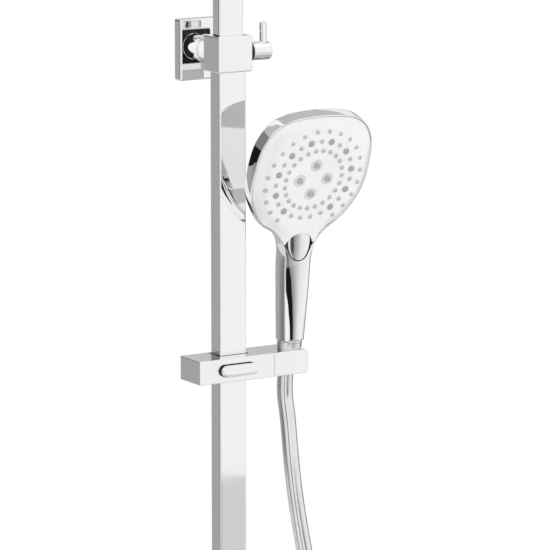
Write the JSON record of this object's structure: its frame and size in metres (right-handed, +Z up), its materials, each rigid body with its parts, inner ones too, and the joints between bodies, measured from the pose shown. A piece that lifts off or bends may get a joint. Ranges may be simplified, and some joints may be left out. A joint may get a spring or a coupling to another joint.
{
  "type": "rainfall shower column",
  "caption": "Wall-fed chrome shower column: tilting square rain head on a bent overhead pipe, lever diverter, sliding holder on a lower rail, and a push-button hand shower on a flexible hose.",
  "frame": {"origin": "centre of the upper wall plate, on the plane of the finished wall", "axes": "+X to the right as seen from the room, +Y into the wall, +Z up along the rail"},
  "size_m": [0.2433, 0.504, 1.393],
  "materials": {
    "chrome": "mirror-polished chrome plate on brass",
    "chromed_plastic": "mirror-bright chrome plate on ABS",
    "brass": "machined",
    "steel": "bright stainless",
    "seal": "matt black rubber",
    "black_plastic": "moulded acetal",
    "silicone": "soft grey silicone",
    "white_plastic": "gloss white",
    "hose": "smooth silver PVC over a braid"
  },
  "bodies": {
    "column": {"upper_plate": "chrome", "upper_collar": "chrome", "inlet_arm": "chrome", "inlet_nipple": "brass", "inlet_filter": "steel", "diverter_block": "chrome", "lower_plate": "chrome", "lower_collar": "chrome", "lower_arm": "chrome", "arm_grub_screw": "steel", "lower_block": "chrome", "wall_anchor": "steel", "diverter_sleeve": "brass", "sleeve_seals": "seal", "gland_nut": "brass", "overhead_tube": "chrome", "overhead_tube_cap": "chrome", "guide_rail": "chrome", "rail_outlet": "chrome", "check_valve": "black_plastic", "outlet_washer": "seal", "hose_outlet_nut": "chrome", "ball_nipple": "chrome", "hose_lower": "hose"},
    "diverter": {"diverter_spindle": "brass", "diverter_knob": "chrome", "knob_grub_screw": "steel", "lever_pin": "chrome"},
    "head_seat": {"ball_seat": "seal"},
    "rain_head": {"head_socket": "chrome", "head_shell": "chrome", "head_face": "chrome", "head_nozzle_mat": "silicone"},
    "slider": {"slider_body": "chromed_plastic", "slider_liner": "black_plastic", "brake_shoe": "black_plastic", "brake_leaf_spring": "steel", "button_springs": "steel", "pivot_pin": "steel", "hose_middle": "hose"},
    "button": {"release_button": "chromed_plastic"},
    "holder": {"handset_holder": "chromed_plastic", "friction_washer": "black_plastic"},
    "hose_end": {"cone_nut": "chrome", "cone_nut_washer": "seal", "hose_upper": "hose"},
    "handset": {"handset_back_shell": "chromed_plastic", "handset_front_shell": "chromed_plastic", "spray_face": "white_plastic", "spray_nozzle_mat": "silicone", "swirl_discs": "white_plastic", "spray_core": "black_plastic", "handset_water_tube": "black_plastic", "select_spring": "steel", "handset_thread": "black_plastic"},
    "selector": {"select_button": "chromed_plastic"}
  },
  "joints": [
    {"name": "diverter_turn", "type": "hinge", "parent": "column", "child": "diverter", "pos_m": [0.03, -0.0472, 0], "axis": [1, 0, 0], "range_deg": [0, 90]},
    {"name": "head_tilt", "type": "hinge", "parent": "column", "child": "head_seat", "pos_m": [0, -0.38, 0.27635], "axis": [1, 0, 0], "range_deg": [-14, 14]},
    {"name": "head_roll", "type": "hinge", "parent": "head_seat", "child": "rain_head", "pos_m": [0, -0.38, 0.27635], "axis": [0, 1, 0], "range_deg": [-14, 14]},
    {"name": "slider_slide", "type": "slide", "parent": "column", "child": "slider", "axis": [0, 0, 1], "range_m": [-0.32, 0.25], "deforming": ["hose_lower"]},
    {"name": "button_push", "type": "slide", "parent": "slider", "child": "button", "axis": [0, 1, 0], "range_m": [0, 0.003], "stiffness_N_per_m": 600, "springref_m": -0.002, "deforming": ["button_springs"]},
    {"name": "holder_tilt", "type": "hinge", "parent": "slider", "child": "holder", "pos_m": [0.045, -0.0514, -0.2879], "axis": [1, 0, 0], "range_deg": [-4, 20], "deforming": ["hose_middle"]},
    {"name": "handset_lift", "type": "slide", "parent": "holder", "child": "hose_end", "axis": [0, -0.2199, 0.9755], "range_m": [0, 0.04], "deforming": ["hose_upper"]},
    {"name": "handset_turn", "type": "hinge", "parent": "hose_end", "child": "handset", "pos_m": [0.0605, -0.0514, -0.2879], "axis": [0, -0.2199, 0.9755], "range_deg": [0, 60]},
    {"name": "select_push", "type": "slide", "parent": "handset", "child": "selector", "axis": [0, 0.9613, 0.2756], "range_m": [0, 0.0015], "stiffness_N_per_m": 900, "springref_m": -0.001, "deforming": ["select_spring"]}
  ]
}
